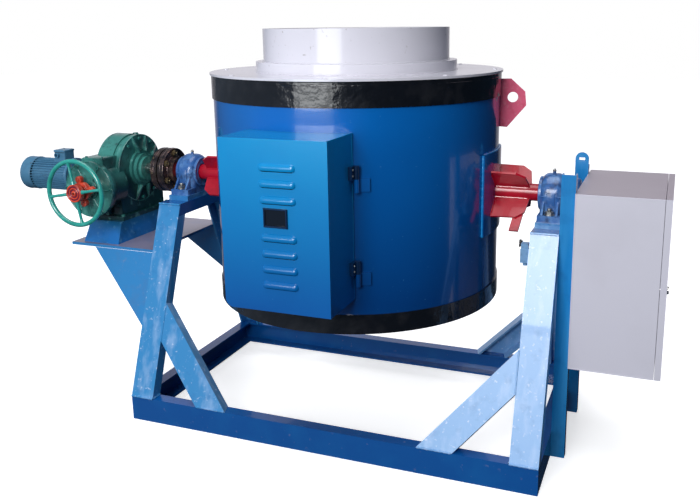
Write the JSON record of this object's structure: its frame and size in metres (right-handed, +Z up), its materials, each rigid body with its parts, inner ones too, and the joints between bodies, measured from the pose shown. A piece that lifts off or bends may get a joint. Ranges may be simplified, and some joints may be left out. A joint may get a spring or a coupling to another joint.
{
  "type": "tilting induction melting furnace",
  "caption": "Tilting induction melting furnace: round coil vessel on trunnions in a braced stand, worm gearbox with handwheel and motor, hinged hood and control cabinet.",
  "frame": {"origin": "on the floor at the centre of the four floor anchors, straight below the middle of the tilting axis", "axes": "+X to the right along the tilting axis towards the cabinet, +Y to the back, +Z up"},
  "size_m": [2.734, 1.294, 1.55],
  "materials": {
    "frame_blue": "gloss",
    "vessel_blue": "gloss",
    "band_black": "gloss",
    "cover_white": "gloss",
    "signal_red": "gloss",
    "lug_pink": "gloss",
    "bearing_blue": "painted, mottled",
    "gear_green": "gloss",
    "rim_teal": "gloss",
    "clutch_red": "satin",
    "coupling_steel": "machined",
    "bright_steel": "machined",
    "zinc": "zinc plated",
    "motor_grey": "satin",
    "cabinet_grey": "satin powder coat",
    "black_plastic": "matte",
    "grey_plastic": "satin",
    "window_black": "gloss",
    "copper": "bare tube",
    "ceramic_fibre": "matte",
    "castable": "rough refractory",
    "graphite": "rough",
    "bronze": "machined",
    "bare_steel": "mill"
  },
  "bodies": {
    "stand": {"cross_rails": "frame_blue", "side_rails": "frame_blue", "legs": "frame_blue", "top_beams": "frame_blue", "braces": "frame_blue", "cabinet_uprights": "frame_blue", "drive_shelf": "frame_blue", "shelf_brackets": "frame_blue", "bearing_pads": "frame_blue", "bearing_housings": "bearing_blue", "bearing_bolts": "zinc", "bearing_inserts": "bright_steel", "gearbox_case": "gear_green", "gearbox_covers": "gear_green", "gearbox_foot": "gear_green", "cap_screws": "zinc", "motor_body": "motor_grey", "motor_cowl": "black_plastic", "terminal_box": "motor_grey", "cabinet_box": "cabinet_grey", "mounting_plate": "bright_steel", "control_gear": "grey_plastic", "cable_glands": "black_plastic", "limit_switch": "grey_plastic"},
    "vessel": {"vessel_shell": "vessel_blue", "vessel_floor": "vessel_blue", "shell_bands": "band_black", "cover_plate": "cover_white", "step_ring": "cover_white", "collar": "cover_white", "collar_lining": "castable", "crucible": "graphite", "crucible_pedestal": "castable", "insulation": "ceramic_fibre", "induction_coil": "copper", "coil_posts": "castable", "saddle_plates": "vessel_blue", "trunnions": "signal_red", "trunnion_fins": "signal_red", "striker": "signal_red", "lifting_lugs": "lug_pink", "coupling_hubs": "coupling_steel", "coupling_bolts": "zinc", "wheel_shaft": "bright_steel", "hinge_shell_halves": "bare_steel", "terminal_board": "castable", "coil_terminals": "copper"},
    "worm": {"worm_shaft": "bright_steel"},
    "hand_drive": {"hand_shaft": "bright_steel", "handwheel": "rim_teal", "handwheel_hub": "clutch_red"},
    "clutch": {"clutch_star": "clutch_red"},
    "motor_rotor": {"motor_rotor": "bright_steel"},
    "motor_wheel": {"motor_wheel": "bronze"},
    "hood": {"hood_cover": "vessel_blue", "hood_window": "window_black", "hinge_hood_halves": "band_black"},
    "door": {"cabinet_door": "cabinet_grey"},
    "lock": {"cabinet_lock": "bright_steel"},
    "lever": {"switch_lever": "black_plastic"}
  },
  "joints": [
    {"name": "vessel_tilt", "type": "hinge", "parent": "stand", "child": "vessel", "pos_m": [0, 0, 0.95], "axis": [-1, 0, 0], "range_deg": [0, 95]},
    {"name": "worm_turn", "type": "hinge", "parent": "stand", "child": "worm", "pos_m": [-1.105, 0, 0.8418], "axis": [0, 1, 0], "range_deg": [0, 4656]},
    {"name": "hand_turn", "type": "hinge", "parent": "stand", "child": "hand_drive", "pos_m": [-1.125, -0.3, 0.89504], "axis": [0, 1, 0], "range_deg": [-9100, 0]},
    {"name": "clutch_slide", "type": "slide", "parent": "hand_drive", "child": "clutch", "axis": [0, 1, 0], "range_m": [0, 0.01]},
    {"name": "motor_turn", "type": "hinge", "parent": "stand", "child": "motor_rotor", "pos_m": [-1.4, -0.125, 0.92504], "axis": [1, 0, 0], "continuous": true},
    {"name": "motor_wheel_turn", "type": "hinge", "parent": "stand", "child": "motor_wheel", "pos_m": [-1.125, -0.125, 0.89504], "axis": [0, 1, 0], "continuous": true},
    {"name": "hood_swing", "type": "hinge", "parent": "vessel", "child": "hood", "pos_m": [0.208, -0.53, 0.95], "axis": [0, 0, 1], "range_deg": [0, 105]},
    {"name": "door_swing", "type": "hinge", "parent": "stand", "child": "door", "pos_m": [1.1595, 0.293, 0.7], "axis": [0, 0, 1], "range_deg": [0, 110]},
    {"name": "lock_turn", "type": "hinge", "parent": "door", "child": "lock", "pos_m": [1.183, -0.17, 0.6775], "axis": [1, 0, 0], "range_deg": [0, 90]},
    {"name": "lever_press", "type": "hinge", "parent": "stand", "child": "lever", "pos_m": [0.69, -0.18315, 0.795], "axis": [-1, 0, 0], "range_deg": [0, 20], "stiffness_Nm_per_rad": 0.06, "springref_deg": -34.38}
  ],
  "couplings": [
    {"joint": "worm_turn", "follows": "vessel_tilt", "ratio": 49},
    {"joint": "hand_turn", "follows": "vessel_tilt", "ratio": -95.773},
    {"joint": "motor_wheel_turn", "follows": "motor_turn", "ratio": 0.033333}
  ]
}
